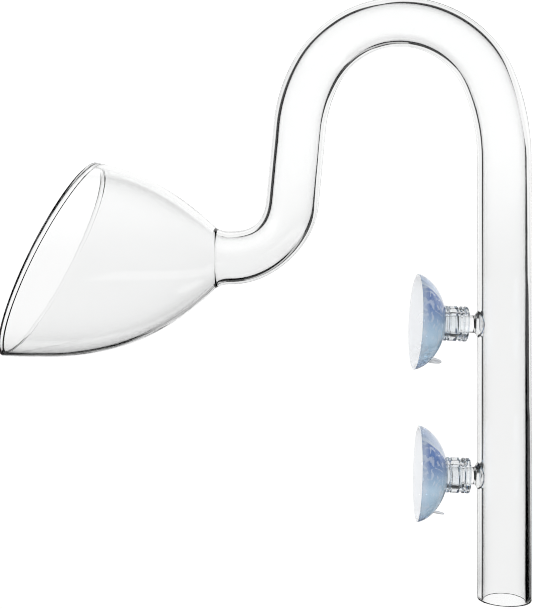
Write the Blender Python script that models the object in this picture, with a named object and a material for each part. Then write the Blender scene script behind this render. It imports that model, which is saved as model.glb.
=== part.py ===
"""Glass outflow pipe for an aquarium filter, held by two suction cups. Metres, +Z up.

The pipe's centre line lies in the XZ plane. The origin is on the tank's wall, midway between the
two cups, and that wall is the plane x = 0. The inlet leg stands on the +X side of the wall, the
arch hooks over the tank's rim, and the bell opens towards -X and a little upwards.
"""

import math

import bmesh
import bpy
from mathutils import Matrix, Vector

MM = 0.001
GAP = 0.3 * MM  # left between pieces that touch

# Bent tube
TUBE_R = 8.5 * MM
BORE_R = 6.6 * MM
TUBE_SIDES = 24
LEG_X = 28.1 * MM
INLET_Z = -64.3 * MM
ARCH_START_Z = 77.4 * MM
ARCH_BENDS = ((66.8 * MM, 22.0), (30.8 * MM, 129.0), (46.3 * MM, 23.6))  # radius, degrees
ARCH_SQUEEZE = 0.10  # how much flatter the tube is at the top of the arch
LOWER_BEND_R = 19.7 * MM
LOWER_SQUEEZE = 0.07
NECK_Z = 45.7 * MM
STEP_DEGREES = 8.0
RIM_ROUND = 0.5 * MM

# Seam between neck and bell, a little swollen by the flame
SEAM_X = -64.8 * MM
SEAM_R = 9.7 * MM
SEAM_BORE_R = 6.9 * MM
FLARE_LENGTH = 4.0 * MM

# Bell
BELL_R = 31.9 * MM
BELL_INSIDE_R = 30.6 * MM
BELL_WIDEST = 57.0 * MM  # from the seam
BELL_LENGTH = 72.0 * MM  # before the mouth is cut
BELL_POWER = 2.5
BELL_SIDES = 36
BELL_RINGS = 13
MOUTH_X = -117.5 * MM  # where the cut crosses the bell's axis
MOUTH_LEAN = math.radians(25.8)

# Pegs
PEG_HEIGHTS = {"upper": 24.4 * MM, "lower": -24.4 * MM}
PEG_R = 2.8 * MM
PEG_END_X = 7.3 * MM
PEG_ROUND = 0.8 * MM
WELD_R = 4.3 * MM
WELD_THICKNESS = 1.7 * MM
WELD_SPREAD = 1.3  # how much wider the weld is round the tube than along it
PEG_SIDES = 24

# Suction cups, measured along +X from the suction face
CUP_R = 15.0 * MM
CUP_DEPTH = 9.6 * MM
CUP_POWER = 0.64
LIP_R = 14.2 * MM
HOLLOW_DEPTH = 8.6 * MM
BOSS_R = 4.6 * MM
BOSS_FACE_X = 4.6 * MM
BOSS_ROUND = 0.9 * MM
CUP_NECK_R = 5.65 * MM
CUP_LENGTH = 17.2 * MM
NECK_CHAMFER = 0.5 * MM
NECK_GROOVES = ((10.2, 0.35, 0.35), (13.6, 0.6, 0.7), (15.7, 0.35, 0.4))  # x, half width, depth in mm
SOCKET_R = PEG_R + GAP
SOCKET_END_X = 7.0 * MM
CUP_SIDES = 24
TAB_FROM_X = 2.6 * MM
TAB_TIP_X = 9.0 * MM
TAB_WIDTH = 7.0 * MM
TAB_THICKNESS = 0.8 * MM
TAB_DROP = 12.8 * MM  # below the cup's axis
TAB_ARC_STEPS = 8


def clear_scene():
    for thing in list(bpy.data.objects):
        bpy.data.objects.remove(thing, do_unlink=True)


def material(name, colour, roughness, transmission, alpha=1.0):
    made = bpy.data.materials.new(name)
    made.use_nodes = True
    shader = made.node_tree.nodes["Principled BSDF"]
    shader.inputs["Base Color"].default_value = (*colour, 1.0)
    shader.inputs["Roughness"].default_value = roughness
    shader.inputs["Metallic"].default_value = 0.0
    shader.inputs["Transmission Weight"].default_value = transmission
    shader.inputs["Alpha"].default_value = alpha
    return made


def add_object(name, mesh_builder, finish):
    """Turns a bmesh into a smooth-shaded object and frees the bmesh."""
    bmesh.ops.recalc_face_normals(mesh_builder, faces=mesh_builder.faces)
    mesh = bpy.data.meshes.new(name)
    mesh_builder.to_mesh(mesh)
    mesh_builder.free()
    mesh.shade_smooth()
    mesh.set_sharp_from_angle(angle=math.radians(35))
    made = bpy.data.objects.new(name, mesh)
    made.data.materials.append(finish)
    bpy.context.scene.collection.objects.link(made)
    return made


def ring(centre, heading, in_plane, across, sides):
    """Points of one tube section, square to the heading in the XZ plane."""
    outward = Vector((-math.sin(heading), 0.0, math.cos(heading)))
    turns = (2 * math.pi * i / sides for i in range(sides))
    return [
        centre + in_plane * math.cos(a) * outward + across * math.sin(a) * Vector((0, 1, 0))
        for a in turns
    ]


def closed_loft(rings):
    """Skins a closed chain of rings: out along the outside and back along the bore."""
    bm = bmesh.new()
    loops = [[bm.verts.new(p) for p in points] for points in rings]
    sides = len(rings[0])
    for first, second in zip(loops, loops[1:] + loops[:1]):
        for i in range(sides):
            j = (i + 1) % sides
            bm.faces.new((first[i], first[j], second[j], second[i]))
    return bm


def lathe(outline, sides):
    """Turns (x, radius) points about the X axis; the first and last lie on the axis."""
    bm = bmesh.new()
    verts = [bm.verts.new((x, 0.0, r)) for x, r in outline]
    edges = [bm.edges.new(pair) for pair in zip(verts, verts[1:])]
    bmesh.ops.spin(
        bm,
        geom=verts + edges,
        cent=(0, 0, 0),
        axis=(1, 0, 0),
        dvec=(0, 0, 0),
        angle=2 * math.pi,
        steps=sides,
        use_duplicate=False,
    )
    bmesh.ops.remove_doubles(bm, verts=bm.verts, dist=0.002 * MM)
    return bm


def cut_away(target, cutter):
    """Subtracts a helper mesh, which the model doesn't show."""
    cutter.hide_render = True
    cutter.display_type = "WIRE"
    boolean = target.modifiers.new("cut", "BOOLEAN")
    boolean.operation = "DIFFERENCE"
    boolean.object = cutter


# Tube ---------------------------------------------------------------------------------------------


def advance(point, heading, length, turn=0.0):
    """One step along a straight line, or along an arc where the heading turns."""
    chord = length if turn == 0 else length * math.sin(turn / 2) / (turn / 2)
    middle = heading + turn / 2
    return point + chord * Vector((math.cos(middle), 0, math.sin(middle))), heading + turn


def bend(point, heading, radius, degrees):
    """Stations after each step of a bend; a negative angle turns clockwise."""
    steps = math.ceil(abs(degrees) / STEP_DEGREES)
    turn = math.radians(degrees) / steps
    made = []
    for _ in range(steps):
        point, heading = advance(point, heading, radius * abs(turn), turn)
        made.append((point, heading))
    return made


def squeezed(stations, start_heading, total, amount):
    """Adds to each station how far the bend has flattened the tube there."""
    made = []
    for point, heading in stations:
        part = (heading - start_heading) / total
        made.append((point, heading, 1 - amount * math.sin(math.pi * part) ** 2))
    return made


def centre_line():
    """(point, heading, squeeze) from the inlet's rim to where the neck's flare starts."""
    up = math.pi / 2
    start = Vector((LEG_X, 0, INLET_Z))
    point, heading = advance(start, up, ARCH_START_Z - INLET_Z)
    line = [(start, up, 1.0), (point, up, 1.0)]
    arch = []
    for radius, degrees in ARCH_BENDS:
        arch += bend(point, heading, radius, degrees)
        point, heading = arch[-1]
    line += squeezed(arch, up, heading - up, ARCH_SQUEEZE)
    drop = point.z - NECK_Z - LOWER_BEND_R * (1 + math.cos(heading))
    point, heading = advance(point, heading, drop / -math.sin(heading))
    line.append((point, heading, 1.0))
    lower = bend(point, heading, LOWER_BEND_R, math.degrees(math.pi - heading))
    line += squeezed(lower, heading, math.pi - heading, LOWER_SQUEEZE)
    line.append((Vector((SEAM_X + FLARE_LENGTH, 0, NECK_Z)), math.pi, 1.0))
    return line


def tube_rings():
    """Outer rings from inlet to seam, then the bore's rings back to the inlet."""
    line = centre_line()
    rim, leg = line[0], line[1:]
    lifted = (rim[0] + Vector((0, 0, RIM_ROUND)), rim[1], rim[2])
    outside = [ring(rim[0], rim[1], TUBE_R - RIM_ROUND, TUBE_R - RIM_ROUND, TUBE_SIDES)]
    inside = [ring(rim[0], rim[1], BORE_R + RIM_ROUND, BORE_R + RIM_ROUND, TUBE_SIDES)]
    for point, heading, squeeze in [lifted] + leg:
        outside.append(ring(point, heading, TUBE_R * squeeze, TUBE_R, TUBE_SIDES))
        inside.append(ring(point, heading, BORE_R * squeeze, BORE_R, TUBE_SIDES))
    for part in (0.5, 1.0):
        point = Vector((SEAM_X + GAP + (FLARE_LENGTH - GAP) * (1 - part), 0, NECK_Z))
        swollen = TUBE_R + (SEAM_R - TUBE_R) * part**2
        opened = BORE_R + (SEAM_BORE_R - BORE_R) * part**2
        outside.append(ring(point, math.pi, swollen, swollen, TUBE_SIDES))
        inside.append(ring(point, math.pi, opened, opened, TUBE_SIDES))
    return outside + inside[::-1]


def make_tube(finish):
    return add_object("bent_glass_tube", closed_loft(tube_rings()), finish)


# Bell ---------------------------------------------------------------------------------------------


def bell_radius(along, seam_r, widest_r):
    """The blown shape: a cone at the seam that swells into a nearly straight wall."""
    return seam_r + (widest_r - seam_r) * (1 - abs(1 - along / BELL_WIDEST) ** BELL_POWER)


def bell_ring(along, seam_r, widest_r):
    centre = Vector((SEAM_X - along, 0, NECK_Z))
    radius = bell_radius(along, seam_r, widest_r)
    return ring(centre, math.pi, radius, radius, BELL_SIDES)


def cut_mouth(bm):
    """Cuts the bell on a slant and closes its wall there."""
    facing = Vector((-math.cos(MOUTH_LEAN), 0, math.sin(MOUTH_LEAN)))
    bmesh.ops.bisect_plane(
        bm,
        geom=bm.verts[:] + bm.edges[:] + bm.faces[:],
        dist=0.001 * MM,
        plane_co=(MOUTH_X, 0, NECK_Z),
        plane_no=facing,
        clear_outer=True,
    )
    rims = [edge for edge in bm.edges if edge.is_boundary]
    bmesh.ops.bridge_loops(bm, edges=rims)


def make_bell(finish):
    places = [BELL_LENGTH * (i / BELL_RINGS) ** 1.3 for i in range(BELL_RINGS + 1)]
    outside = [bell_ring(t, SEAM_R, BELL_R) for t in places]
    inside = [bell_ring(t, SEAM_BORE_R, BELL_INSIDE_R) for t in places]
    bm = closed_loft(outside + inside[::-1])
    cut_mouth(bm)
    return add_object("outflow_bell", bm, finish)


# Pegs ---------------------------------------------------------------------------------------------


def peg_outline():
    """Rounded rod end, rod, then the weld's collar, which runs on into the tube."""
    tube_face = LEG_X - TUBE_R
    weld_start = tube_face - WELD_THICKNESS
    into_tube = LEG_X - TUBE_R / 2
    return [
        (PEG_END_X, 0.0),
        (PEG_END_X, PEG_R - PEG_ROUND),
        (PEG_END_X + PEG_ROUND * 0.3, PEG_R - PEG_ROUND * 0.3),
        (PEG_END_X + PEG_ROUND, PEG_R),
        (weld_start, PEG_R),
        (weld_start + WELD_THICKNESS * 0.35, PEG_R + (WELD_R - PEG_R) * 0.65),
        (weld_start + WELD_THICKNESS, WELD_R),
        (into_tube, WELD_R),
        (into_tube, 0.0),
    ]


def spread_weld(bm):
    """Widens the weld round the tube, where the molten glass ran."""
    start = LEG_X - TUBE_R - WELD_THICKNESS
    for vert in bm.verts:
        part = min(max((vert.co.x - start) / WELD_THICKNESS, 0), 1)
        vert.co.y *= 1 + (WELD_SPREAD - 1) * part


def tube_cutter():
    """The leg's outer wall plus the gap, as a helper that hollows the pegs' welds."""
    bm = bmesh.new()
    bmesh.ops.create_cone(
        bm,
        cap_ends=True,
        segments=4 * TUBE_SIDES,
        radius1=TUBE_R + GAP,
        radius2=TUBE_R + GAP,
        depth=4 * PEG_HEIGHTS["upper"],
    )
    bmesh.ops.translate(bm, verts=bm.verts, vec=(LEG_X, 0, 0))
    return add_object("tube_cutter", bm, bpy.data.materials["clear glass"])


def make_pegs(finish):
    cutter = tube_cutter()
    for place, height in PEG_HEIGHTS.items():
        bm = lathe(peg_outline(), PEG_SIDES)
        spread_weld(bm)
        bmesh.ops.translate(bm, verts=bm.verts, vec=(0, 0, height))
        cut_away(add_object(f"{place}_peg", bm, finish), cutter)


# Suction cups -------------------------------------------------------------------------------------


def dome_x(radius):
    return CUP_DEPTH * (1 - (radius / CUP_R) ** 2) ** CUP_POWER


def hollow_x(radius):
    return HOLLOW_DEPTH * (1 - (radius / LIP_R) ** 2)


def groove(at, half_width, depth):
    at, half_width, depth = at * MM, half_width * MM, depth * MM
    return [
        (at - half_width, CUP_NECK_R),
        (at, CUP_NECK_R - depth),
        (at + half_width, CUP_NECK_R),
    ]


def spread(first, last, count):
    return [first + (last - first) * i / (count - 1) for i in range(count)]


def cup_outline():
    """From the boss inside the hollow, round the lip and over the neck, to the socket's end."""
    boss = [
        (BOSS_FACE_X, 0.0),
        (BOSS_FACE_X, BOSS_R - BOSS_ROUND),
        (BOSS_FACE_X + BOSS_ROUND, BOSS_R),
    ]
    hollow = [(hollow_x(r), r) for r in spread(BOSS_R, LIP_R, 7)]
    dome = [(dome_x(r), r) for r in spread(CUP_R, CUP_NECK_R, 8)]
    neck = [point for values in NECK_GROOVES for point in groove(*values)]
    end = [
        (CUP_LENGTH - NECK_CHAMFER, CUP_NECK_R),
        (CUP_LENGTH, CUP_NECK_R - NECK_CHAMFER),
        (CUP_LENGTH, SOCKET_R + NECK_CHAMFER),
        (CUP_LENGTH - NECK_CHAMFER, SOCKET_R),
        (SOCKET_END_X, SOCKET_R),
        (SOCKET_END_X, 0.0),
    ]
    return boss + hollow + dome + neck + end


def tab_mesh():
    """A thin tongue with a round tip, for a fingernail to lift the lip by."""
    half = TAB_WIDTH / 2
    tip_centre = TAB_TIP_X - half
    angles = [math.pi * (i / TAB_ARC_STEPS - 0.5) for i in range(TAB_ARC_STEPS + 1)]
    outline = [(tip_centre + half * math.cos(a), half * math.sin(a)) for a in angles]
    outline = [(TAB_FROM_X, -half)] + outline + [(TAB_FROM_X, half)]
    bm = bmesh.new()
    low = -TAB_DROP - TAB_THICKNESS / 2
    face = bm.faces.new([bm.verts.new((x, y, low)) for x, y in outline])
    raised = bmesh.ops.extrude_face_region(bm, geom=[face])["geom"]
    top = [item for item in raised if isinstance(item, bmesh.types.BMVert)]
    bmesh.ops.translate(bm, verts=top, vec=(0, 0, TAB_THICKNESS))
    return bm


def make_cups(finish):
    for place, height in PEG_HEIGHTS.items():
        where = Matrix.Translation((0, 0, height))
        tab = add_object(f"{place}_tab_shape", tab_mesh(), finish)
        tab.matrix_world = where
        tab.hide_render = True
        tab.display_type = "WIRE"
        cup = add_object(f"{place}_suction_cup", lathe(cup_outline(), CUP_SIDES), finish)
        cup.matrix_world = where
        union = cup.modifiers.new("tab", "BOOLEAN")
        union.operation = "UNION"
        union.object = tab


def main():
    clear_scene()
    glass = material("clear glass", (0.97, 0.985, 0.98), 0.02, 1.0, alpha=0.35)
    soft_vinyl = material("blue-tinted soft vinyl", (0.62, 0.78, 0.93), 0.22, 0.8, alpha=0.6)
    make_tube(glass)
    make_bell(glass)
    make_pegs(glass)
    make_cups(soft_vinyl)


main()
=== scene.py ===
# %% [markdown]
# # A glass outflow pipe for an aquarium filter
#
# A filter pumps water up the straight inlet leg. The arch carries it over the tank's rim, and the
# wide bell with its slanted mouth lets it out just under the surface. Two soft suction cups sit on
# short glass pegs and hold the pipe to the tank's wall.
#
# The engineering model is packed already. It is loaded first and never moved: it says where every
# piece goes. This script gives each of its pieces a fine mesh and a proper finish.

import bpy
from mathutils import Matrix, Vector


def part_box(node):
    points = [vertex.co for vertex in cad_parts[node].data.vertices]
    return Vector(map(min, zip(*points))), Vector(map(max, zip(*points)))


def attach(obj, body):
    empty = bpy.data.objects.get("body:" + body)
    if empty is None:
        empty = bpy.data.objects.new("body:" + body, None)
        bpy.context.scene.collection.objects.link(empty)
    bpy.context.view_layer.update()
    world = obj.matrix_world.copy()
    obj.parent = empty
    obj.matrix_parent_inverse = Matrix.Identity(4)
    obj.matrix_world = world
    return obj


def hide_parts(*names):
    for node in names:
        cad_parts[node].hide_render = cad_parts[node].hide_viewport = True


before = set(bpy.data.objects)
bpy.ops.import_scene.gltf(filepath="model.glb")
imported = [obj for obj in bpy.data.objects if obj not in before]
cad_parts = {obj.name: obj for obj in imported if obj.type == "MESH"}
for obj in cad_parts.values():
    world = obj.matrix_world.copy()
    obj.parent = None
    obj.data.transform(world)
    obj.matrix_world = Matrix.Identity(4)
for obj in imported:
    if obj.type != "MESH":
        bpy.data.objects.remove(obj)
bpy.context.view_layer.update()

# %% [markdown]
# ## Camera
#
# The camera stands level, a forearm's length in front of the pipe and a little nearer to the bell
# than to the leg, so that it sees into the slanted mouth and on to the cups' suction faces. A
# longer lens from further back would flatten both. The sensor's long side is upright here.

# %% Place the camera
import math

import bmesh
import bpy
from mathutils import Matrix, Vector

MM = 0.001
CAMERA_PLACE = Vector((-48.5, -317.2, 30.7)) * MM
LENS = 58.2

scene = bpy.context.scene
camera = bpy.data.objects.new("camera", bpy.data.cameras.new("camera"))
camera.data.lens = LENS
camera.data.clip_start = 5 * MM
camera.location = CAMERA_PLACE
camera.rotation_euler = (math.radians(90), 0, 0)
scene.collection.objects.link(camera)
scene.camera = camera
print("camera at", tuple(round(v, 4) for v in camera.location))

# %% [markdown]
# ## Studio
#
# Clear glass has no colour of its own. What draws it is a bright field behind it and something
# dark beside it, which the walls of the glass bend into view as thin dark lines. Product
# photographers stand black cards just outside the picture for this. Here the cards are part of the
# room's light: only light that was mirrored inside a wall meets them, so the room itself stays
# pale from every side and the glass stays clear against it.

# %% Node helpers
def add_node(tree, kind, **settings):
    node = tree.nodes.new(kind)
    for name, value in settings.items():
        setattr(node, name, value)
    return node


def fade(tree, value, low, high, start, end):
    """A smooth step from start to end while value goes from low to high."""
    step = add_node(tree, "ShaderNodeMapRange", interpolation_type="SMOOTHSTEP")
    tree.links.new(value, step.inputs["Value"])
    for name, number in (("From Min", low), ("From Max", high), ("To Min", start), ("To Max", end)):
        step.inputs[name].default_value = number
    return step.outputs["Result"]


def calculate(tree, operation, first, second):
    """A Math node on a socket and a socket or number."""
    node = add_node(tree, "ShaderNodeMath", operation=operation)
    tree.links.new(first, node.inputs[0])
    if isinstance(second, (int, float)):
        node.inputs[1].default_value = second
    else:
        tree.links.new(second, node.inputs[1])
    return node.outputs[0]


def blend_sockets(tree, factor, first, second):
    mix = add_node(tree, "ShaderNodeMix", data_type="FLOAT")
    for index, socket in ((0, factor), (2, first), (3, second)):
        tree.links.new(socket, mix.inputs[index])
    return mix.outputs[0]


def constant(tree, number):
    node = add_node(tree, "ShaderNodeValue")
    node.outputs[0].default_value = number
    return node.outputs[0]


print("node helpers are ready")

# %% [markdown]
# The room is bright behind the pipe, brighter still above, and dimmer behind the camera, which
# gives the glass its soft grey. The cards are directions. A thick wall mirrors light sideways by
# up to 56 degrees at the bore. A card that reaches in from there towards the back draws a line
# along the bore, and the further it reaches, the thicker the line: the left card for left walls,
# the right card for right ones. The right card leans, so that the leg's line thickens downwards. The
# overhead card draws the top of the arch and the low card the underside of the bell and the neck.
# The underside of the arch is to stay faint, so the low card stops at one side and the right card
# has a gap. Light that was scattered by something matte sees an even room with no cards.

# %% Room light and black cards
BACK_LIGHT = 1.04
BACK_LIGHT_ABOVE = 1.17
FRONT_LIGHT = 0.80
MATTE_LIGHT = 1.12
RISE_TO_ABOVE = (0.03, 0.16)  # height of the direction: all behind, all above
TURN_TO_BACK = (0.55, 0.93)  # depth of the direction: all front, all back
CARD_DARK = 0.0
LEFT_CARD = (-38.0, -25.0)  # degrees from straight back: all dark, all open
RIGHT_CARD = (39.0, 45.0)  # all open, all dark
RIGHT_CARD_LEAN = 2.2
GAP_START = (-30.0, -28.0)  # degrees above the horizon, as for the next three
GAP_END = (-20.0, -17.0)
GAP_LIGHT = 0.7
LOW_CARD = (-21.0, -13.0)  # all dark, all open
LOW_CARD_END = (-40.0, -31.0)
LOW_CARD_SIDE = (3.0, 5.0)  # degrees to the right: still dark, open
LOW_SIDE_LIGHT = 0.75
BELOW_CARD = 0.1
OVERHEAD_CARD = (60.0, 67.0)  # all open, all dark
OVERHEAD_CARD_DROP = 0.55


def fade_angle(tree, angle, limits, start, end):
    """The same smooth step, between two angles in degrees."""
    return fade(tree, angle, *map(math.radians, limits), start, end)


def product(tree, first, *others):
    for other in others:
        first = calculate(tree, "MULTIPLY", first, other)
    return first


def card_light(tree, sideways, height):
    """What mirrored light sees in each direction: 1 is open room, 0 is a card."""
    open_left = fade_angle(tree, sideways, LEFT_CARD, CARD_DARK, 1.0)
    leaning = calculate(tree, "SUBTRACT", sideways, product(tree, height, RIGHT_CARD_LEAN))
    open_right = fade_angle(tree, leaning, RIGHT_CARD, 1.0, CARD_DARK)
    gap = product(
        tree,
        fade_angle(tree, height, GAP_START, 0.0, GAP_LIGHT),
        fade_angle(tree, height, GAP_END, 1.0, 0.0),
    )
    open_right = calculate(tree, "MAXIMUM", open_right, gap)
    open_low = calculate(
        tree,
        "ADD",
        fade_angle(tree, height, LOW_CARD, CARD_DARK, 1.0),
        fade_angle(tree, height, LOW_CARD_END, BELOW_CARD, 0.0),
    )
    beside_low = fade_angle(tree, sideways, LOW_CARD_SIDE, 0.0, LOW_SIDE_LIGHT)
    open_low = calculate(tree, "MAXIMUM", open_low, beside_low)
    drop = product(tree, calculate(tree, "ABSOLUTE", sideways, 0.0), OVERHEAD_CARD_DROP)
    raised = calculate(tree, "ADD", height, drop)
    open_top = fade_angle(tree, raised, OVERHEAD_CARD, 1.0, CARD_DARK)
    return product(tree, open_left, open_right, open_low, open_top)


def light_room():
    world = bpy.data.worlds.new("studio room")
    world.use_nodes = True
    tree = world.node_tree
    tree.nodes.clear()
    place = add_node(tree, "ShaderNodeTexCoord")
    parts = add_node(tree, "ShaderNodeSeparateXYZ")
    tree.links.new(place.outputs["Generated"], parts.inputs[0])
    behind = fade(tree, parts.outputs["Z"], *RISE_TO_ABOVE, BACK_LIGHT, BACK_LIGHT_ABOVE)
    facing_back = fade(tree, parts.outputs["Y"], *TURN_TO_BACK, 0.0, 1.0)
    room = blend_sockets(tree, facing_back, constant(tree, FRONT_LIGHT), behind)
    sideways = calculate(tree, "ARCTAN2", parts.outputs["X"], parts.outputs["Y"])
    height = calculate(tree, "ARCSINE", parts.outputs["Z"], 0.0)
    path = add_node(tree, "ShaderNodeLightPath")
    mirrored = calculate(tree, "MINIMUM", path.outputs["Glossy Depth"], 1.0)
    strength = blend_sockets(tree, mirrored, room, card_light(tree, sideways, height))
    scattered = calculate(tree, "MINIMUM", path.outputs["Diffuse Depth"], 1.0)
    strength = blend_sockets(tree, scattered, strength, constant(tree, MATTE_LIGHT))
    background = add_node(tree, "ShaderNodeBackground")
    background.inputs["Color"].default_value = (1.0, 1.0, 1.0, 1.0)
    tree.links.new(strength, background.inputs["Strength"])
    output = add_node(tree, "ShaderNodeOutputWorld")
    tree.links.new(background.outputs[0], output.inputs["Surface"])
    scene.world = world
    print("room light", BACK_LIGHT, "behind and", FRONT_LIGHT, "in front")


light_room()

# %% [markdown]
# The floor is a pale card below the pipe, which hangs and touches nothing. Its borders fade out, and
# mirrored light does not meet it, so no edge shows in the glass.

# %% Pale floor
FLOOR_Z = -250 * MM
FLOOR_R = 560 * MM
FLOOR_TONES = ((0.80, 0.80, 0.80, 1), (0.84, 0.84, 0.835, 1))
SPECKLES_PER_METRE = 900


def floor_finish():
    finish = bpy.data.materials.new("pale floor")
    finish.use_nodes = True
    tree = finish.node_tree
    tree.nodes.clear()
    geometry = add_node(tree, "ShaderNodeNewGeometry")
    distance = add_node(tree, "ShaderNodeVectorMath", operation="LENGTH")
    tree.links.new(geometry.outputs["Position"], distance.inputs[0])
    shown = fade(tree, distance.outputs["Value"], 0.5 * FLOOR_R, FLOOR_R, 1.0, 0.0)
    path = add_node(tree, "ShaderNodeLightPath")
    direct = calculate(tree, "LESS_THAN", path.outputs["Glossy Depth"], 0.5)
    shown = calculate(tree, "MULTIPLY", shown, direct)
    speckle = add_node(tree, "ShaderNodeTexNoise")
    speckle.inputs["Scale"].default_value = SPECKLES_PER_METRE
    tree.links.new(geometry.outputs["Position"], speckle.inputs["Vector"])
    tone = add_node(tree, "ShaderNodeMix", data_type="RGBA")
    for index, colour in zip((6, 7), FLOOR_TONES):
        tone.inputs[index].default_value = colour
    tree.links.new(speckle.outputs["Fac"], tone.inputs[0])
    card = add_node(tree, "ShaderNodeBsdfDiffuse")
    tree.links.new(tone.outputs[2], card.inputs["Color"])
    clear = add_node(tree, "ShaderNodeBsdfTransparent")
    mix = add_node(tree, "ShaderNodeMixShader")
    tree.links.new(shown, mix.inputs[0])
    tree.links.new(clear.outputs[0], mix.inputs[1])
    tree.links.new(card.outputs[0], mix.inputs[2])
    output = add_node(tree, "ShaderNodeOutputMaterial")
    tree.links.new(mix.outputs[0], output.inputs["Surface"])
    return finish


def make_floor():
    reach = FLOOR_R
    bm = bmesh.new()
    corners = ((-reach, -reach), (reach, -reach), (reach, reach), (-reach, reach))
    bm.faces.new([bm.verts.new((x, y, FLOOR_Z)) for x, y in corners])
    mesh = bpy.data.meshes.new("pale_floor")
    bm.to_mesh(mesh)
    bm.free()
    mesh.materials.append(floor_finish())
    made = bpy.data.objects.new("pale_floor", mesh)
    scene.collection.objects.link(made)
    print("floor", round(-FLOOR_Z / MM), "mm below the middle of the cups")


make_floor()

# %% [markdown]
# Light that enters a tube's wall meets many surfaces before it is out again, four for each wall it
# crosses and more where it is mirrored. Each needs a bounce, or the glass turns black. Plain
# colours keep the white background white, and a narrow pixel filter keeps the fine lines fine.

# %% Render settings that belong to the look
scene.view_settings.view_transform = "Standard"
scene.cycles.max_bounces = 32
scene.cycles.transmission_bounces = 32
scene.cycles.glossy_bounces = 12
scene.cycles.transparent_max_bounces = 32
scene.cycles.caustics_reflective = True
scene.cycles.caustics_refractive = True
scene.cycles.filter_width = 0.95
print("light may bounce", scene.cycles.max_bounces, "times")

# %% [markdown]
# ## Surface effects that several finishes share
#
# Drawn and blown glass is never quite even: it has long, very shallow draw lines and slow waves.
# Moulded vinyl has a soft, low orange peel. All of them are the same effect at different sizes, so
# one node group makes it from the "unrolled" coordinate that every piece here carries: where a
# point would lie if the piece were straightened out along Z.

# %% Waviness group
def new_group(name, inputs, outputs):
    group = bpy.data.node_groups.new(name, "ShaderNodeTree")
    for label, value in inputs:
        socket = group.interface.new_socket(label, in_out="INPUT", socket_type="NodeSocketFloat")
        socket.default_value = value
    for label in outputs:
        group.interface.new_socket(label, in_out="OUTPUT", socket_type="NodeSocketFloat")
    start = add_node(group, "NodeGroupInput")
    end = add_node(group, "NodeGroupOutput")
    return group, start, end


def waviness_group():
    """Height of a slow wave plus draw lines; Lines Per Metre counts round the piece."""
    group, start, end = new_group(
        "worked surface waviness",
        (
            ("Waves Per Metre", 60.0),
            ("Lines Per Metre", 500.0),
            ("Line Stretch", 30.0),
            ("Line Share", 0.3),
        ),
        ("Height",),
    )
    place = add_node(group, "ShaderNodeAttribute", attribute_name="unrolled")
    slow = add_node(group, "ShaderNodeTexNoise")
    slow.inputs["Detail"].default_value = 1.0
    group.links.new(place.outputs["Vector"], slow.inputs["Vector"])
    group.links.new(start.outputs["Waves Per Metre"], slow.inputs["Scale"])
    squash = add_node(group, "ShaderNodeMath", operation="DIVIDE")
    squash.inputs[0].default_value = 1.0
    group.links.new(start.outputs["Line Stretch"], squash.inputs[1])
    factors = add_node(group, "ShaderNodeCombineXYZ")
    factors.inputs["X"].default_value = 1.0
    factors.inputs["Y"].default_value = 1.0
    group.links.new(squash.outputs[0], factors.inputs["Z"])
    stretched = add_node(group, "ShaderNodeVectorMath", operation="MULTIPLY")
    group.links.new(place.outputs["Vector"], stretched.inputs[0])
    group.links.new(factors.outputs[0], stretched.inputs[1])
    lines = add_node(group, "ShaderNodeTexNoise")
    lines.inputs["Detail"].default_value = 2.0
    group.links.new(stretched.outputs[0], lines.inputs["Vector"])
    group.links.new(start.outputs["Lines Per Metre"], lines.inputs["Scale"])
    mix = add_node(group, "ShaderNodeMix", data_type="FLOAT")
    group.links.new(start.outputs["Line Share"], mix.inputs[0])
    group.links.new(slow.outputs["Fac"], mix.inputs[2])
    group.links.new(lines.outputs["Fac"], mix.inputs[3])
    group.links.new(mix.outputs[0], end.inputs["Height"])
    return group


waviness = waviness_group()
print("made node group", waviness.name)

# %% [markdown]
# Hands leave a faint film on glass and vinyl alike, a little rougher in soft-edged patches. The
# second group turns a clean and a smudged roughness into one value over the surface.

# %% Handling film group
PATCH_EDGE = (0.52, 0.72)


def film_group():
    group, start, end = new_group(
        "handling film",
        (("Clean", 0.0), ("Smudged", 0.05), ("Patches Per Metre", 70.0)),
        ("Roughness",),
    )
    place = add_node(group, "ShaderNodeAttribute", attribute_name="unrolled")
    noise = add_node(group, "ShaderNodeTexNoise")
    noise.inputs["Detail"].default_value = 3.0
    group.links.new(place.outputs["Vector"], noise.inputs["Vector"])
    group.links.new(start.outputs["Patches Per Metre"], noise.inputs["Scale"])
    patches = fade(group, noise.outputs["Fac"], *PATCH_EDGE, 0.0, 1.0)
    mix = add_node(group, "ShaderNodeMix", data_type="FLOAT")
    group.links.new(patches, mix.inputs[0])
    group.links.new(start.outputs["Clean"], mix.inputs[2])
    group.links.new(start.outputs["Smudged"], mix.inputs[3])
    group.links.new(mix.outputs[0], end.inputs["Roughness"])
    return group


film = film_group()
print("made node group", film.name)

# %% [markdown]
# ## Glass finishes
#
# Laboratory-style borosilicate glass: nearly colourless, with the refraction of such glass, and
# polished by the flame. The tube was drawn, so it has more draw lines; the bell was blown, so it
# has slower waves; the pegs are short cuts of drawn rod.

# %% Mix the glass
GLASS_REFRACTION = 1.474
GLASS_COLOUR = (0.994, 0.997, 0.996, 1.0)


def set_inputs(node, **values):
    for name, value in values.items():
        node.inputs[name.replace("_", " ")].default_value = value


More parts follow.
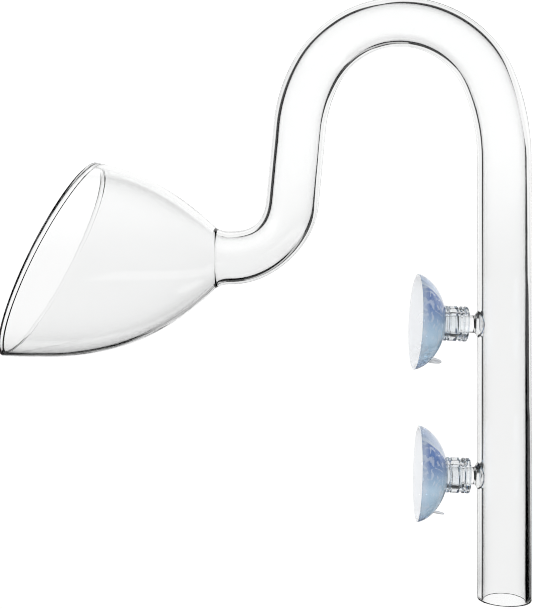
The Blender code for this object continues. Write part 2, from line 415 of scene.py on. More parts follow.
def worked_finish(name, wave_values, film_values, bump_depth):
    """A Principled finish with waviness and handling film; the caller sets the rest."""
    finish = bpy.data.materials.new(name)
    finish.use_nodes = True
    tree = finish.node_tree
    shader = tree.nodes["Principled BSDF"]
    waves = add_node(tree, "ShaderNodeGroup", node_tree=waviness)
    for label, value in wave_values.items():
        waves.inputs[label].default_value = value
    bump = add_node(tree, "ShaderNodeBump")
    bump.inputs["Strength"].default_value = 1.0
    bump.inputs["Distance"].default_value = bump_depth
    tree.links.new(waves.outputs["Height"], bump.inputs["Height"])
    tree.links.new(bump.outputs["Normal"], shader.inputs["Normal"])
    smudges = add_node(tree, "ShaderNodeGroup", node_tree=film)
    for label, value in film_values.items():
        smudges.inputs[label].default_value = value
    tree.links.new(smudges.outputs["Roughness"], shader.inputs["Roughness"])
    return finish, shader


def glass_finish(name, wave_values, bump_depth):
    film_values = {"Clean": 0.0, "Smudged": 0.005, "Patches Per Metre": 60.0}
    finish, shader = worked_finish(name, wave_values, film_values, bump_depth)
    set_inputs(
        shader,
        Base_Color=GLASS_COLOUR,
        Metallic=0.0,
        Transmission_Weight=1.0,
        IOR=GLASS_REFRACTION,
    )
    print("mixed", name)
    return finish


tube_glass = glass_finish(
    "drawn tube glass",
    {"Waves Per Metre": 70.0, "Lines Per Metre": 380.0, "Line Stretch": 40.0, "Line Share": 0.35},
    0.10 * MM,
)
bell_glass = glass_finish(
    "blown bell glass",
    {"Waves Per Metre": 45.0, "Lines Per Metre": 160.0, "Line Stretch": 6.0, "Line Share": 0.25},
    0.12 * MM,
)
rod_glass = glass_finish(
    "drawn rod glass",
    {"Waves Per Metre": 180.0, "Lines Per Metre": 700.0, "Line Stretch": 30.0, "Line Share": 0.3},
    0.04 * MM,
)

# %% [markdown]
# Where two pieces of glass were melted into one, no surface is left between them. The pieces here
# stay separate, a hair apart, so the faces that meet get a finish that light passes unbent.

# %% Mix the finish of the fused faces
def fused_finish():
    finish = bpy.data.materials.new("fused glass")
    finish.use_nodes = True
    shader = finish.node_tree.nodes["Principled BSDF"]
    set_inputs(
        shader,
        Base_Color=(1.0, 1.0, 1.0, 1.0),
        Metallic=0.0,
        Roughness=0.0,
        Transmission_Weight=1.0,
        IOR=1.0,
    )
    print("mixed fused glass")
    return finish


fused_glass = fused_finish()

# %% [markdown]
# ## Soft vinyl
#
# The cups are moulded in see-through vinyl with a blue tint, and each region of a cup looks
# different. The neck is clear and shows its ribs. The dome is clear too, with a faint tint, and
# through it the skin of the hollow is seen, which carries most of the blue and painted light as
# well: deep above, which is partly the tint and partly painted shade, pale below, with streaks, and
# a painted highlight arc and band where the thick rim of the dome mirrors the light. From the wall's
# side the same skin is milky white, because a suction face is moulded dull, so that it grips.

# %% Vinyl colours and helpers
CLEAR_VINYL = (0.95, 0.97, 0.985, 1.0)
DOME_VINYL = (0.80, 0.88, 0.975, 1.0)
FACE_VINYL = (0.965, 0.965, 0.97, 1.0)
# The deep blue is partly the vinyl's tint and partly painted shade on the hollow's skin.
DEEP_TINT_AND_SHADE = (0.05, 0.16, 0.50, 1.0)
PALE_TINT = (0.66, 0.85, 0.97, 1.0)
# The whitish colour also paints a highlight arc, and the band colour a paler painted band, where the
# dome's thick rim mirrors the light.
WHITISH_AND_HIGHLIGHT_TINT = (0.95, 0.97, 1.0, 1.0)
HIGHLIGHT_BAND_TINT = (0.76, 0.82, 0.94, 1.0)
DEEP_TINT_AND_SHADE_FROM = (-4 * MM, 7 * MM)  # above the cup's axis
DEEP_TINT_AND_SHADE_TIP = (-13.5 * MM, -10.5 * MM)
HIGHLIGHT_ARC_FROM = (0.62, 0.68)  # how steeply up the dome, as a squared sine
HIGHLIGHT_BAND_FROM = (0.71, 0.78)
LIP_FADE = (0.6 * MM, 2.4 * MM)  # from the suction face, along the axis
NECK_FADE = (7 * MM, 10.5 * MM)
STREAKS_PER_METRE = 300.0
STREAK_EDGE = (0.50, 0.64)
STREAK_DISTORTION = 1.5
STREAK_SHARE = 0.55  # how much of the tint a streak, the lip or the low tip takes over
LIP_SHARE = 0.55
TIP_SHARE = 0.8
VINYL_WAVES = {
    "Waves Per Metre": 260.0,
    "Lines Per Metre": 900.0,
    "Line Stretch": 2.0,
    "Line Share": 0.3,
}


def blend_colours(tree, share, first, second):
    mix = add_node(tree, "ShaderNodeMix", data_type="RGBA")
    tree.links.new(share, mix.inputs[0])
    for socket, colour in ((mix.inputs[6], first), (mix.inputs[7], second)):
        if isinstance(colour, tuple):
            socket.default_value = colour
        else:
            tree.links.new(colour, socket)
    return mix.outputs[2]


def vinyl_finish(name, clearness, refraction, clean, smudged):
    film_values = {"Clean": clean, "Smudged": smudged, "Patches Per Metre": 160.0}
    finish, shader = worked_finish(name, VINYL_WAVES, film_values, 0.04 * MM)
    set_inputs(shader, Metallic=0.0, Transmission_Weight=clearness, IOR=refraction)
    tree = finish.node_tree
    place = add_node(tree, "ShaderNodeAttribute", attribute_name="unrolled")
    parts = add_node(tree, "ShaderNodeSeparateXYZ")
    tree.links.new(place.outputs["Vector"], parts.inputs[0])
    print("mixed", finish.name)
    return finish, shader, place, parts


print("vinyl helpers are ready")

# %% [markdown]
# Three finishes share these helpers. One mesh wears all three, and later each face is told by its
# place which of them it has.

# %% Mix the three vinyl finishes
def dome_finish():
    finish, shader, _, parts = vinyl_finish("blue-tinted dome vinyl", 0.93, 1.36, 0.03, 0.09)
    tree = finish.node_tree
    near_neck = fade(tree, parts.outputs["Z"], *NECK_FADE, 0.0, 1.0)
    colour = blend_colours(tree, near_neck, DOME_VINYL, CLEAR_VINYL)
    tree.links.new(colour, shader.inputs["Base Color"])
    return finish


def neck_finish():
    finish, shader, _, _ = vinyl_finish("clear neck vinyl", 0.97, 1.45, 0.01, 0.05)
    shader.inputs["Base Color"].default_value = CLEAR_VINYL
    return finish


def face_finish():
    """White from the wall's side; seen through the dome it carries the blue, with painted shade and
    painted highlights.
    """
    finish, shader, place, parts = vinyl_finish("milky suction face", 0.30, 1.36, 0.20, 0.30)
    tree = finish.node_tree
    across, upward, along = (parts.outputs[axis] for axis in "XYZ")
    # Painted shade: the blue turns deep above the axis and at the low tip, over the vinyl's own tint.
    high = fade(tree, upward, *DEEP_TINT_AND_SHADE_FROM, 0.0, 1.0)
    tip = fade(tree, upward, *DEEP_TINT_AND_SHADE_TIP, TIP_SHARE, 0.0)
    deep = calculate(tree, "MAXIMUM", high, tip)
    tint_and_painted_light = blend_colours(tree, deep, PALE_TINT, DEEP_TINT_AND_SHADE)
    noise = add_node(tree, "ShaderNodeTexNoise")
    noise.inputs["Scale"].default_value = STREAKS_PER_METRE
    noise.inputs["Distortion"].default_value = STREAK_DISTORTION
    tree.links.new(place.outputs["Vector"], noise.inputs["Vector"])
    streaks = fade(tree, noise.outputs["Fac"], *STREAK_EDGE, 0.0, STREAK_SHARE)
    tint_and_painted_light = blend_colours(tree, streaks, tint_and_painted_light, WHITISH_AND_HIGHLIGHT_TINT)
    near_lip = fade(tree, along, *LIP_FADE, LIP_SHARE, 0.0)
    tint_and_painted_light = blend_colours(tree, near_lip, tint_and_painted_light, WHITISH_AND_HIGHLIGHT_TINT)
    # Painted highlight: a whitish arc and a paler band up the dome, where its thick rim mirrors the
    # light.
    upward_squared = calculate(tree, "MULTIPLY", upward, upward)
    across_squared = calculate(tree, "MULTIPLY", across, across)
    both = calculate(tree, "ADD", across_squared, upward_squared)
    steep = calculate(tree, "DIVIDE", upward_squared, both)
    for limits, colour in ((HIGHLIGHT_ARC_FROM, WHITISH_AND_HIGHLIGHT_TINT), (HIGHLIGHT_BAND_FROM, HIGHLIGHT_BAND_TINT)):
        share = calculate(tree, "MULTIPLY", fade(tree, steep, *limits, 0.0, 1.0), high)
        tint_and_painted_light = blend_colours(tree, share, tint_and_painted_light, colour)
    geometry = add_node(tree, "ShaderNodeNewGeometry")
    colour = blend_colours(tree, geometry.outputs["Backfacing"], FACE_VINYL, tint_and_painted_light)
    tree.links.new(colour, shader.inputs["Base Color"])
    return finish


ON_DOME, ON_FACE, ON_NECK = range(3)
cup_finishes = (dome_finish(), face_finish(), neck_finish())

# %% [markdown]
# ## Mesh helpers
#
# Every piece here is a skin over a chain of rings. `skin` lays the faces and stores the unrolled
# coordinate; `place_piece` turns the result into an object, puts it on its body and lets it stand
# for its CAD node.

# %% Helpers for ring-built pieces
UP = math.pi / 2
MERGE_WITHIN = 0.0005 * MM


def skin(rings, unrolled, joined_ends=True):
    """Quads between neighbouring rings; with joined_ends the last ring meets the first."""
    bm = bmesh.new()
    layer = bm.verts.layers.float_vector.new("unrolled")
    loops = []
    for points, flat_places in zip(rings, unrolled):
        loop = []
        for point, flat_place in zip(points, flat_places):
            vert = bm.verts.new(point)
            vert[layer] = flat_place
            loop.append(vert)
        loops.append(loop)
    following = loops[1:] + loops[:1] if joined_ends else loops[1:]
    sides = len(rings[0])
    for first, second in zip(loops, following):
        for i in range(sides):
            j = (i + 1) % sides
            bm.faces.new((first[i], first[j], second[j], second[i]))
    bmesh.ops.remove_doubles(bm, verts=bm.verts, dist=MERGE_WITHIN)
    return bm


def place_piece(name, bm, finishes, body, node):
    bmesh.ops.recalc_face_normals(bm, faces=bm.faces)
    mesh = bpy.data.meshes.new(name)
    bm.to_mesh(mesh)
    bm.free()
    mesh.shade_smooth()
    for finish in finishes:
        mesh.materials.append(finish)
    piece = bpy.data.objects.new(name, mesh)
    scene.collection.objects.link(piece)
    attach(piece, body)
    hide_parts(node)
    print("made", name, "with", len(mesh.polygons), "faces")


def section(centre, heading, in_plane, across, sides):
    """One ring, square to the heading, which lies in the XZ plane."""
    outward = Vector((-math.sin(heading), 0.0, math.cos(heading)))
    turns = [2 * math.pi * i / sides for i in range(sides)]
    return [
        centre + in_plane * math.cos(a) * outward + across * math.sin(a) * Vector((0, 1, 0))
        for a in turns
    ]


def unroll(radius, travelled, sides):
    """Where a ring's points lie on the straightened piece."""
    turns = [2 * math.pi * i / sides for i in range(sides)]
    return [(radius * math.cos(a), radius * math.sin(a), travelled) for a in turns]


print("ring helpers are ready")

# %% [markdown]
# ## The bent tube
#
# The leg, arch, riser and neck are one length of heavy-walled tube, bent in the flame. Its centre
# line is walked in small steps, straight or along an arc, and the tube is skinned over it, outside
# and bore. Where a hot tube bends it flattens a little in the plane of the bend, most at the
# middle, and the walls keep their thickness. A curve with a round bevel couldn't do that.

# %% Centre line of the tube
TUBE_R = 8.5 * MM
BORE_R = 6.6 * MM
TUBE_SIDES = 96
ARCH_START_Z = 77.4 * MM
ARCH_BENDS = ((66.8 * MM, 22.0), (30.8 * MM, 129.0), (46.3 * MM, 23.6))
ARCH_SQUEEZE = 0.10
LOWER_BEND_R = 19.7 * MM
LOWER_SQUEEZE = 0.07
NECK_Z = 45.7 * MM
FLARE_LENGTH = 4.2 * MM
SEAM_BORE_R = 7.8 * MM
STEP_DEGREES = 2.2
STEP_LENGTH = 6.0 * MM
HAIR = 0.004 * MM

tube_low, tube_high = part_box("bent_glass_tube")
_, bell_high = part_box("outflow_bell")
INLET_Z = tube_low.z
LEG_X = tube_high.x - TUBE_R
SEAM_R = tube_high.y
SEAM_X = bell_high.x


def advance(point, heading, length, turn=0.0):
    """One step along a straight line, or along an arc where the heading turns."""
    chord = length if turn == 0 else length * math.sin(turn / 2) / (turn / 2)
    middle = heading + turn / 2
    return point + chord * Vector((math.cos(middle), 0, math.sin(middle))), heading + turn


def straight(point, heading, length):
    steps = max(1, math.ceil(length / STEP_LENGTH))
    return [(*advance(point, heading, length * i / steps), 1.0) for i in range(1, steps + 1)]


def bend(point, heading, radius, degrees):
    steps = math.ceil(abs(degrees) / STEP_DEGREES)
    turn = math.radians(degrees) / steps
    made = []
    for _ in range(steps):
        point, heading = advance(point, heading, radius * abs(turn), turn)
        made.append((point, heading))
    return made


def flattened(stations, first_heading, total, amount):
    """Adds to each station how far the bend has flattened the tube there."""
    made = []
    for point, heading in stations:
        part = (heading - first_heading) / total
        made.append((point, heading, 1 - amount * math.sin(math.pi * part) ** 2))
    return made


def centre_line():
    """(point, heading, squeeze) from the inlet's rim to the seam."""
    line = [(Vector((LEG_X, 0, INLET_Z)), UP, 1.0)]
    line += straight(line[0][0], UP, ARCH_START_Z - INLET_Z)
    point, heading, _ = line[-1]
    arch = []
    for radius, degrees in ARCH_BENDS:
        arch += bend(point, heading, radius, degrees)
        point, heading = arch[-1]
    line += flattened(arch, UP, heading - UP, ARCH_SQUEEZE)
    drop = point.z - NECK_Z - LOWER_BEND_R * (1 + math.cos(heading))
    line += straight(point, heading, drop / -math.sin(heading))
    point, heading, _ = line[-1]
    lower = bend(point, heading, LOWER_BEND_R, math.degrees(math.pi - heading))
    line += flattened(lower, heading, math.pi - heading, LOWER_SQUEEZE)
    point, heading, _ = line[-1]
    line += straight(point, math.pi, point.x - SEAM_X - FLARE_LENGTH)
    return line


tube_line = centre_line()
print("centre line has", len(tube_line), "stations; leg at x", round(LEG_X / MM, 2), "mm")

# %% [markdown]
# The inlet was sawn square and touched with the flame, so its end is flat with a small round at
# each edge. At the other end the neck swells towards the seam with the bell, outside and inside
# alike: walls that stay parallel bend no dark lines into view. Rings close to each edge hold the
# shading there, and the fine groove between the two round edges is the seam's line.

# %% Skin the tube
RIM_STEPS = 8
SEAM_STEPS = 4
INLET_EDGE = 0.32 * MM
SEAM_ROUND = 0.025 * MM
SEAM_HOLD = 0.04 * MM
FLARE_STEPS = 8


def inlet_rings():
    """From the outer wall round the inlet's flat end to the bore, a small round at each edge."""
    made = []
    for i in range(RIM_STEPS + 1):
        angle = UP * i / RIM_STEPS
        level = INLET_Z + INLET_EDGE * (1 - math.sin(angle))
        made.append((level, TUBE_R - INLET_EDGE * (1 - math.cos(angle))))
    for i in range(RIM_STEPS):
        angle = UP * (1 - i / RIM_STEPS)
        level = INLET_Z + INLET_EDGE * (1 - math.sin(angle))
        made.append((level, BORE_R + INLET_EDGE * (1 - math.cos(angle))))
    return [section(Vector((LEG_X, 0, z)), UP, radius, radius, TUBE_SIDES) for z, radius in made]


def flare_profile():
    """(x, outer radius, bore radius) from the neck to just before the seam."""
    made = []
    for i in range(1, FLARE_STEPS + 1):
        part = i / FLARE_STEPS
        x = SEAM_X + FLARE_LENGTH * (1 - part) + (HAIR + SEAM_ROUND) * part
        outer = TUBE_R + (SEAM_R - TUBE_R) * part**2
        bore = BORE_R + (SEAM_BORE_R - BORE_R) * part**2
        made.append((x, outer, bore))
    made.insert(-1, (made[-1][0] + SEAM_HOLD, SEAM_R, SEAM_BORE_R))
    return made


def seam_edge(x, outer, bore, towards):
    """Rounds the wall's end at the seam: (x, radius) from the outside to the bore."""
    made = []
    for i in range(1, SEAM_STEPS + 1):
        angle = UP * i / SEAM_STEPS
        reach = towards * SEAM_ROUND * math.sin(angle)
        made.append((x + reach, outer - SEAM_ROUND * (1 - math.cos(angle))))
    for i in range(SEAM_STEPS):
        angle = UP * (1 - i / SEAM_STEPS)
        reach = towards * SEAM_ROUND * math.sin(angle)
        made.append((x + reach, bore + SEAM_ROUND * (1 - math.cos(angle))))
    return made


def mark_fused(bm):
    """Gives the flat end at the seam the finish that light passes unbent."""
    for face in bm.faces:
        if all(abs(vert.co.x - SEAM_X) < 2 * HAIR for vert in face.verts):
            face.material_index = 1


def make_tube():
    outside, inside, travelled = [], [], []
    walked = 0.0
    previous = tube_line[0][0]
    for place, heading, squeeze in tube_line:
        if place is tube_line[0][0]:
            place = place + Vector((0, 0, INLET_EDGE + SEAM_HOLD))
        walked += (place - previous).length
        previous = place
        outside.append(section(place, heading, TUBE_R * squeeze, TUBE_R, TUBE_SIDES))
        bore = TUBE_R * squeeze - (TUBE_R - BORE_R)
        inside.append(section(place, heading, bore, BORE_R, TUBE_SIDES))
        travelled.append(walked)
    for x, outer, bore in flare_profile():
        place = Vector((x, 0, NECK_Z))
        outside.append(section(place, math.pi, outer, outer, TUBE_SIDES))
        inside.append(section(place, math.pi, bore, bore, TUBE_SIDES))
        walked += (place - previous).length
        previous = place
        travelled.append(walked)
    end = [
        section(Vector((x, 0, NECK_Z)), math.pi, r, r, TUBE_SIDES)
        for x, r in seam_edge(previous.x, SEAM_R, SEAM_BORE_R, -1)
    ]
    rim = inlet_rings()
    rings = outside + end + inside[::-1] + rim[::-1]
    flat = [unroll(TUBE_R, t, TUBE_SIDES) for t in travelled]
    flat += [unroll(TUBE_R, walked, TUBE_SIDES)] * len(end)
    flat += [unroll(BORE_R, t, TUBE_SIDES) for t in reversed(travelled)]
    flat += [unroll(BORE_R, 0.0, TUBE_SIDES)] * len(rim)
    bm = skin(rings, flat)
    mark_fused(bm)
    finishes = (tube_glass, fused_glass)
    place_piece("bent_tube", bm, finishes, "glass_pipe", "bent_glass_tube")


make_tube()

# %% [markdown]
# ## The bell
#
# The bell was blown from the same kind of tube and sealed on. It swells quickly from the seam and
# runs on into a nearly straight wall. That wall is cut on a slant and melted round, and the soft
# glass gathered on the inside, so that a bead stands in from the rim while the outside stays
# flush. Each lengthwise line of the mesh is measured off so that it ends on the slanted plane:
# cutting a finished mesh would leave a ragged rim with no bead.

# %% Shape of the bell
BELL_R = 31.9 * MM
BELL_INSIDE_R = 30.6 * MM
BELL_WIDEST = 57.0 * MM
BELL_POWER = 2.5
BELL_LENGTH = 72.0 * MM
BELL_SIDES = 144
BELL_RINGS = 44
RING_CROWDING = 1.25
MOUTH_X = -117.5 * MM
MOUTH_LEAN = math.radians(25.8)
RIM_REACH = 0.9 * MM
RIM_EDGE = 0.2 * MM
BEAD_SWELL = 0.55 * MM
BEAD_LENGTH = 1.9 * MM
BEAD_SHOULDER = 0.5 * MM
BEAD_STEPS = 12
CUT_BETWEEN = (20 * MM, 90 * MM)
HALVINGS = 40


def bell_radius(along, seam_r, widest_r):
    """The blown shape: a cone at the seam that swells into a nearly straight wall."""
    return seam_r + (widest_r - seam_r) * (1 - abs(1 - along / BELL_WIDEST) ** BELL_POWER)


def wall_end(around):
    """How far from the seam the slanted cut crosses the wall, by halving the interval."""
    low, high = CUT_BETWEEN
    for _ in range(HALVINGS):
        along = (low + high) / 2
        height = bell_radius(along, SEAM_R, BELL_R) * math.cos(around)
        if SEAM_X - along > MOUTH_X + math.tan(MOUTH_LEAN) * height:
            low = along
        else:
            high = along
    return low


def inner_wall(along, last):
    """Radius of the bell's inside, with the bead that stands in from it near the rim."""
    plain = bell_radius(along, SEAM_BORE_R, BELL_INSIDE_R)
    part = (along - (last - BEAD_LENGTH)) / BEAD_SHOULDER
    part = min(max(part, 0), 1)
    return plain - BEAD_SWELL * part**2 * (3 - 2 * part)


def stops_along(last):
    """Distances from the seam for the rings: even on the wall, close together at the bead."""
    shoulder = last - BEAD_LENGTH - BEAD_SHOULDER / 2
    reach = shoulder - SEAM_ROUND
    wall = [SEAM_ROUND + reach * (i / BELL_RINGS) ** RING_CROWDING for i in range(BELL_RINGS + 1)]
    wall.insert(1, SEAM_ROUND + SEAM_HOLD)
    step = (last - RIM_REACH - shoulder) / BEAD_STEPS
    return wall + [shoulder + step * i for i in range(1, BEAD_STEPS + 1)]


def bell_point(along, radius, around):
    return Vector((SEAM_X - along, radius * math.sin(around), NECK_Z + radius * math.cos(around)))


def rim_points(last, around):
    """Round the rim: a small edge outside, a wide quarter round to the inside."""
    outer = bell_radius(last, SEAM_R, BELL_R)
    made = []
    for i in range(1, BEAD_STEPS // 2 + 1):
        angle = UP * i / (BEAD_STEPS // 2)
        drop = RIM_EDGE * (1 - math.cos(angle))
        made.append(bell_point(last - RIM_EDGE * (1 - math.sin(angle)), outer - drop, around))
    inner = inner_wall(last - RIM_REACH, last)
    wide = outer - RIM_EDGE - inner
    for i in range(1, BEAD_STEPS):
        angle = UP * i / BEAD_STEPS
        reach = last - RIM_REACH * (1 - math.cos(angle))
        made.append(bell_point(reach, outer - RIM_EDGE - wide * math.sin(angle), around))
    return made


print("wall ends", round(wall_end(0) / MM, 1), "mm above,", round(wall_end(math.pi) / MM, 1), "mm below")

# %% [markdown]
# The skin runs out along the outside, round the rim and back along the inside. The rings are
# upright at the seam and lean more and more towards the mouth, since each point stays the same
# share of the way along its own line.

# %% Skin the bell
def make_bell():
    turns = [2 * math.pi * i / BELL_SIDES for i in range(BELL_SIDES)]
    ends = [wall_end(a) for a in turns]
    stops = [stops_along(last) for last in ends]
    outside, inside = [], []
    for i in range(len(stops[0])):
        row = [(stop[i], last, a) for stop, last, a in zip(stops, ends, turns)]
        outside.append([bell_point(t, bell_radius(t, SEAM_R, BELL_R), a) for t, _, a in row])
        inside.append([bell_point(t, inner_wall(t, last), a) for t, last, a in row])
    columns = [rim_points(last, a) for last, a in zip(ends, turns)]
    rim = [list(ring) for ring in zip(*columns)]
    last_outside = [
        bell_point(last - RIM_EDGE, bell_radius(last - RIM_EDGE, SEAM_R, BELL_R), a)
        for last, a in zip(ends, turns)
    ]
    bore = inner_wall(SEAM_ROUND, BELL_LENGTH)
    outer = bell_radius(SEAM_ROUND, SEAM_R, BELL_R)
    edge = [
        [bell_point(SEAM_X - x, r, a) for a in turns]
        for x, r in seam_edge(SEAM_X - SEAM_ROUND, outer, bore, 1)
    ]
    rings = outside + [last_outside] + rim + inside[::-1] + edge[::-1]
    flat = [[(p.y, p.z - NECK_Z, p.x) for p in ring] for ring in rings]
    bm = skin(rings, flat)
    mark_fused(bm)
    finishes = (bell_glass, fused_glass)
    place_piece("blown_bell", bm, finishes, "glass_pipe", "outflow_bell")


make_bell()

# %% [markdown]
# ## The pegs
#
# Each peg is a short cut of solid rod, melted round at its free end and fused to the leg with a
# bead of molten glass that ran a little further round the tube than along it. The bead's far side
# follows the tube a hair's breadth away. On the real object no surface is left there, so that side
# gets the fused finish. With a plain glass finish it would be a dark lens.

# %% Build both pegs
PEG_R = 2.8 * MM
PEG_ROUND = 1.6 * MM
PEG_FLATNESS = 0.7
WELD_R = 4.3 * MM
WELD_LENGTH = 1.2 * MM
WELD_SPREAD = 1.02
PEG_SIDES = 64
PEG_STEPS = 10


def peg_outline(end_x):
    """(x, radius) from the rod's free end to the edge of the weld bead."""
    face_x = LEG_X - TUBE_R
    made = [(end_x, 0.0)]
    for i in range(1, PEG_STEPS + 1):
        angle = UP * i / PEG_STEPS
        x = end_x + PEG_ROUND * PEG_FLATNESS * (1 - math.cos(angle))
        made.append((x, PEG_R - PEG_ROUND + PEG_ROUND * math.sin(angle)))
    rod_end = face_x - WELD_LENGTH
    for i in range(1, PEG_STEPS):
        x = made[PEG_STEPS][0]
        made.append((x + (rod_end - x) * i / PEG_STEPS, PEG_R))
    for i in range(PEG_STEPS + 1):
        part = i / PEG_STEPS
        bulge = part**2 * (3 - 2 * part)
        made.append((rod_end + WELD_LENGTH * part, PEG_R + (WELD_R - PEG_R) * bulge))
    return made


def tube_face(y):
    """X of the leg's near face at this y, less a hair."""
    reach = TUBE_R + HAIR
    return LEG_X - math.sqrt(reach**2 - y**2)


def make_peg(node):
    low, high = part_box(node)
    height = (low.z + high.z) / 2
    outline = peg_outline(low.x)
    rod_end = LEG_X - TUBE_R - WELD_LENGTH
    turns = [2 * math.pi * i / PEG_SIDES for i in range(PEG_SIDES)]
    rings = []
    for x, radius in outline:
        part = min(max((x - rod_end) / WELD_LENGTH, 0), 1)
        wide = 1 + (WELD_SPREAD - 1) * part
        ring = []
        for a in turns:
            y = radius * wide * math.sin(a)
            pushed = (tube_face(y) - tube_face(0)) * part
            ring.append(Vector((x + pushed, y, height + radius * math.cos(a))))
        rings.append(ring)
    for i in range(1, PEG_STEPS + 1):
        radius = WELD_R * (1 - i / PEG_STEPS)
        ring = []
        for a in turns:
            y = radius * WELD_SPREAD * math.sin(a)
            ring.append(Vector((tube_face(y), y, height + radius * math.cos(a))))
        rings.append(ring)
    flat = [[(p.y, p.z - height, p.x) for p in ring] for ring in rings]
    name = node.replace("_peg", "_glass_peg")
    bm = skin(rings, flat, joined_ends=False)
    for face in bm.faces:
        if all(abs(vert.co.x - tube_face(vert.co.y)) < HAIR / 2 for vert in face.verts):
            face.material_index = 1
    place_piece(name, bm, (rod_glass, fused_glass), "glass_pipe", node)


for node in ("upper_peg", "lower_peg"):
    make_peg(node)

# %% [markdown]
# ## The suction cups
#
# One mould made both. A thin dome ends in a soft lip, a stop boss stands inside the hollow, and a
# ribbed neck carries the socket for the peg. The section is drawn once as corners with a radius
# each, rounded and turned about the cup's axis. That gives moulded edges without a bevel, and one
# closed wall, as see-through vinyl needs.

# %% Section of the cup
CUP_R = 15.4 * MM
CUP_DEPTH = 9.6 * MM
CUP_POWER = 0.64
LIP_R = 14.65 * MM
HOLLOW_DEPTH = 8.6 * MM
BOSS_R = 4.6 * MM
BOSS_FACE_X = 4.6 * MM
CUP_NECK_R = 5.65 * MM
CUP_LENGTH = 16.5 * MM
SOCKET_R = 3.3 * MM
SOCKET_END_X = 7.0 * MM
NECK_GROOVES = ((10.2, 0.35, 0.35), (13.6, 0.6, 0.7), (15.1, 0.35, 0.4))  # mm: at, half width, depth
NECK_FROM_X = 9.5 * MM
LIP_ROUND = 0.3 * MM
CUP_SIDES = 112
CURVE_STEPS = 26
CORNER_STEPS = 5
CORNER_SHARE = 0.48  # of the shorter side, so that two roundings never meet


def soften(corners):
    """Rounds every corner (x, radius from the axis, rounding) of a section."""
    made = [Vector(corners[0][:2])]
    for before, corner, after in zip(corners, corners[1:], corners[2:]):
        here = Vector(corner[:2])
        back, ahead = Vector(before[:2]) - here, Vector(after[:2]) - here
        reach = min(corner[2], CORNER_SHARE * back.length, CORNER_SHARE * ahead.length)
        if reach <= 0:
            made.append(here)
            continue
        first, last = here + back.normalized() * reach, here + ahead.normalized() * reach
        for i in range(CORNER_STEPS + 1):
            t = i / CORNER_STEPS
            made.append(first * (1 - t) ** 2 + here * 2 * t * (1 - t) + last * t**2)
    made.append(Vector(corners[-1][:2]))
    return made


def dome_points():
    """Outside of the dome, from the lip in to the neck."""
    stop = math.acos(CUP_NECK_R / CUP_R)
    made = []
    for i in range(1, CURVE_STEPS + 1):
        angle = stop * i / CURVE_STEPS
        made.append((CUP_DEPTH * math.sin(angle) ** (2 * CUP_POWER), CUP_R * math.cos(angle), 0.0))
    return made


def hollow_points():
    """Inside of the dome, from the boss out to the lip."""
    made = []
    for i in range(CURVE_STEPS + 1):
        radius = BOSS_R + (LIP_R - BOSS_R) * i / CURVE_STEPS
        made.append((HOLLOW_DEPTH * (1 - (radius / LIP_R) ** 2), radius, 0.0))
    return made


def cup_section():
    boss = [(BOSS_FACE_X, 0.0, 0.0), (BOSS_FACE_X, BOSS_R, 0.9 * MM)]
    hollow = hollow_points()
    hollow[0] = (*hollow[0][:2], 0.5 * MM)
    hollow[-1] = (*hollow[-1][:2], 0.15 * MM)
    lip = [(0.0, CUP_R, LIP_ROUND)]
    dome = dome_points()
    dome[-1] = (*dome[-1][:2], 0.5 * MM)
    grooves = []
    for at, half_width, depth in NECK_GROOVES:
        grooves += [
            ((at - half_width) * MM, CUP_NECK_R, 0.12 * MM),
            (at * MM, CUP_NECK_R - depth * MM, 0.15 * MM),
            ((at + half_width) * MM, CUP_NECK_R, 0.12 * MM),
        ]
    end = [
        (CUP_LENGTH, CUP_NECK_R, 0.6 * MM),
        (CUP_LENGTH, SOCKET_R, 0.6 * MM),
        (SOCKET_END_X, SOCKET_R, 0.5 * MM),
        (SOCKET_END_X, 0.0, 0.0),
    ]
    return soften(boss + hollow + lip + dome + grooves + end)


cup_line = cup_section()
print("cup section has", len(cup_line), "points")

# %% [markdown]
# The lifting tab is a thin tongue under the lip, for a fingernail. It was moulded in one piece
# with the cup, so it is joined by a union and not just stuck in: two overlapping see-through
# solids would show a wall where they cross. The tab droops and is turned a little, and each cup
# sits on its peg at a slight slant of its own, as soft parts do.

# %% Shapes of the cup and its tab
TAB_FROM_X = 2.6 * MM
TAB_TIP_X = 9.0 * MM
TAB_WIDTH = 7.0 * MM
TAB_THICKNESS = 0.5 * MM
TAB_DROP = 11.6 * MM
TAB_STEPS = 20
TAB_LAYERS = 7
TAB_PITCH = math.radians(10)
TAB_ROLL = math.radians(-14)
CUP_PIVOT_X = 16.0 * MM
MARK_MARGIN = 0.1 * MM
CUP_LEANS = {"upper": (2.7, 0.0, -0.5), "lower": (2.0, -3.3, 0.3)}  # two tilts, mm along


def turned_cup(height):
    turns = [2 * math.pi * i / CUP_SIDES for i in range(CUP_SIDES)]
    rings = [
        [Vector((x, r * math.sin(a), height + r * math.cos(a))) for a in turns] for x, r in cup_line
    ]
    flat = [[(p.y, p.z - height, p.x) for p in ring] for ring in rings]
    return skin(rings, flat, joined_ends=False)


def tab_outline(inset):
    """The tongue's outline, drawn in by a little for its rounded edges."""
    half = TAB_WIDTH / 2
    tip_centre = TAB_TIP_X - half
    angles = [math.pi * (i / TAB_STEPS - 0.5) for i in range(TAB_STEPS + 1)]
    made = [
        (tip_centre + (half - inset) * math.cos(a), (half - inset) * math.sin(a)) for a in angles
    ]
    return [(TAB_FROM_X, -half + inset)] + made + [(TAB_FROM_X, half - inset)]


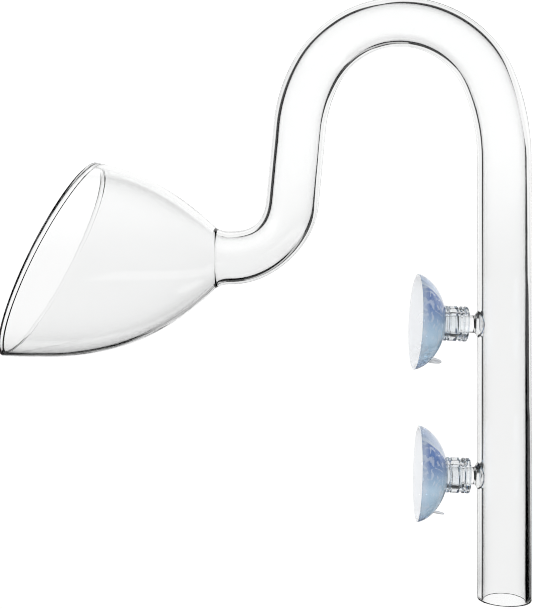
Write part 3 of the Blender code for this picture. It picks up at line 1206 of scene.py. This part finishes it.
def tab_solid(height):
    """A stack of outlines, narrower at the top and bottom, closed at both."""
    half = TAB_THICKNESS / 2
    bm = bmesh.new()
    layer = bm.verts.layers.float_vector.new("unrolled")
    loops = []
    for i in range(TAB_LAYERS):
        angle = math.pi * (i / (TAB_LAYERS - 1) - 0.5)
        inset = half * (1 - math.cos(angle))
        level = -TAB_DROP + half * math.sin(angle)
        loop = [bm.verts.new((x, y, height + level)) for x, y in tab_outline(inset)]
        for vert in loop:
            vert[layer] = (vert.co.y, 0.0, vert.co.x)
        loops.append(loop)
    count = len(loops[0])
    for first, second in zip(loops, loops[1:]):
        for i in range(count):
            j = (i + 1) % count
            bm.faces.new((first[i], first[j], second[j], second[i]))
    bm.faces.new(loops[0])
    bm.faces.new(loops[-1])
    root = Vector((TAB_FROM_X, 0, height - TAB_DROP))
    for axis, angle in (("X", TAB_ROLL), ("Y", TAB_PITCH)):
        turn = Matrix.Rotation(angle, 3, axis)
        bmesh.ops.rotate(bm, verts=bm.verts, cent=root, matrix=turn)
    bmesh.ops.recalc_face_normals(bm, faces=bm.faces)
    for face in bm.faces:
        face.material_index = ON_FACE
    return bm


print("tab is", round((TAB_TIP_X - TAB_FROM_X) / MM, 1), "mm long")

# %% [markdown]
# The union is worked out on throwaway objects, so no modifier is left on the cup. Then the faces
# are given their finishes, and the cup is leaned about a point inside its neck.

# %% Join each tab to its cup
def joined(cup_bm, tab_bm):
    """Union of the two closed shapes, worked out on throwaway objects."""
    helpers = []
    for name, bm in (("cup_shape", cup_bm), ("tab_shape", tab_bm)):
        bmesh.ops.recalc_face_normals(bm, faces=bm.faces)
        mesh = bpy.data.meshes.new(name)
        bm.to_mesh(mesh)
        bm.free()
        for finish in cup_finishes:
            mesh.materials.append(finish)
        helper = bpy.data.objects.new(name, mesh)
        scene.collection.objects.link(helper)
        helpers.append(helper)
    cup_shape, tab_shape = helpers
    union = cup_shape.modifiers.new("union", "BOOLEAN")
    union.operation = "UNION"
    union.solver = "EXACT"
    union.object = tab_shape
    depsgraph = bpy.context.evaluated_depsgraph_get()
    bm = bmesh.new()
    bm.from_mesh(cup_shape.evaluated_get(depsgraph).to_mesh())
    for helper in helpers:
        bpy.data.objects.remove(helper)
    return bm


def mark_finishes(bm, height):
    """The hollow's faces get the milky finish, the neck's and the socket's the clear one."""
    for face in bm.faces:
        middle = face.calc_center_median()
        radius = math.hypot(middle.y, middle.z - height)
        hollow = HOLLOW_DEPTH * (1 - (radius / LIP_R) ** 2)
        in_socket = middle.x > SOCKET_END_X - MARK_MARGIN and radius < SOCKET_R + MARK_MARGIN
        if radius < CUP_R - LIP_ROUND and middle.x < max(hollow, 0) + MARK_MARGIN:
            face.material_index = ON_FACE
        elif middle.x > NECK_FROM_X or in_socket:
            face.material_index = ON_NECK


def make_cup(node):
    body = node.replace("_suction", "")
    place = node.split("_")[0]
    low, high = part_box(f"{place}_peg")
    height = (low.z + high.z) / 2
    bm = joined(turned_cup(height), tab_solid(height))
    mark_finishes(bm, height)
    pitch, yaw, along = CUP_LEANS[place]
    pivot = Vector((CUP_PIVOT_X, 0, height))
    for axis, degrees in (("Y", pitch), ("Z", yaw)):
        turn = Matrix.Rotation(math.radians(degrees), 3, axis)
        bmesh.ops.rotate(bm, verts=bm.verts, cent=pivot, matrix=turn)
    bmesh.ops.translate(bm, verts=bm.verts, vec=(along * MM, 0, 0))
    name = node.replace("_suction_cup", "_vinyl_cup")
    place_piece(name, bm, cup_finishes, body, node)


for node in ("upper_suction_cup", "lower_suction_cup"):
    make_cup(node)
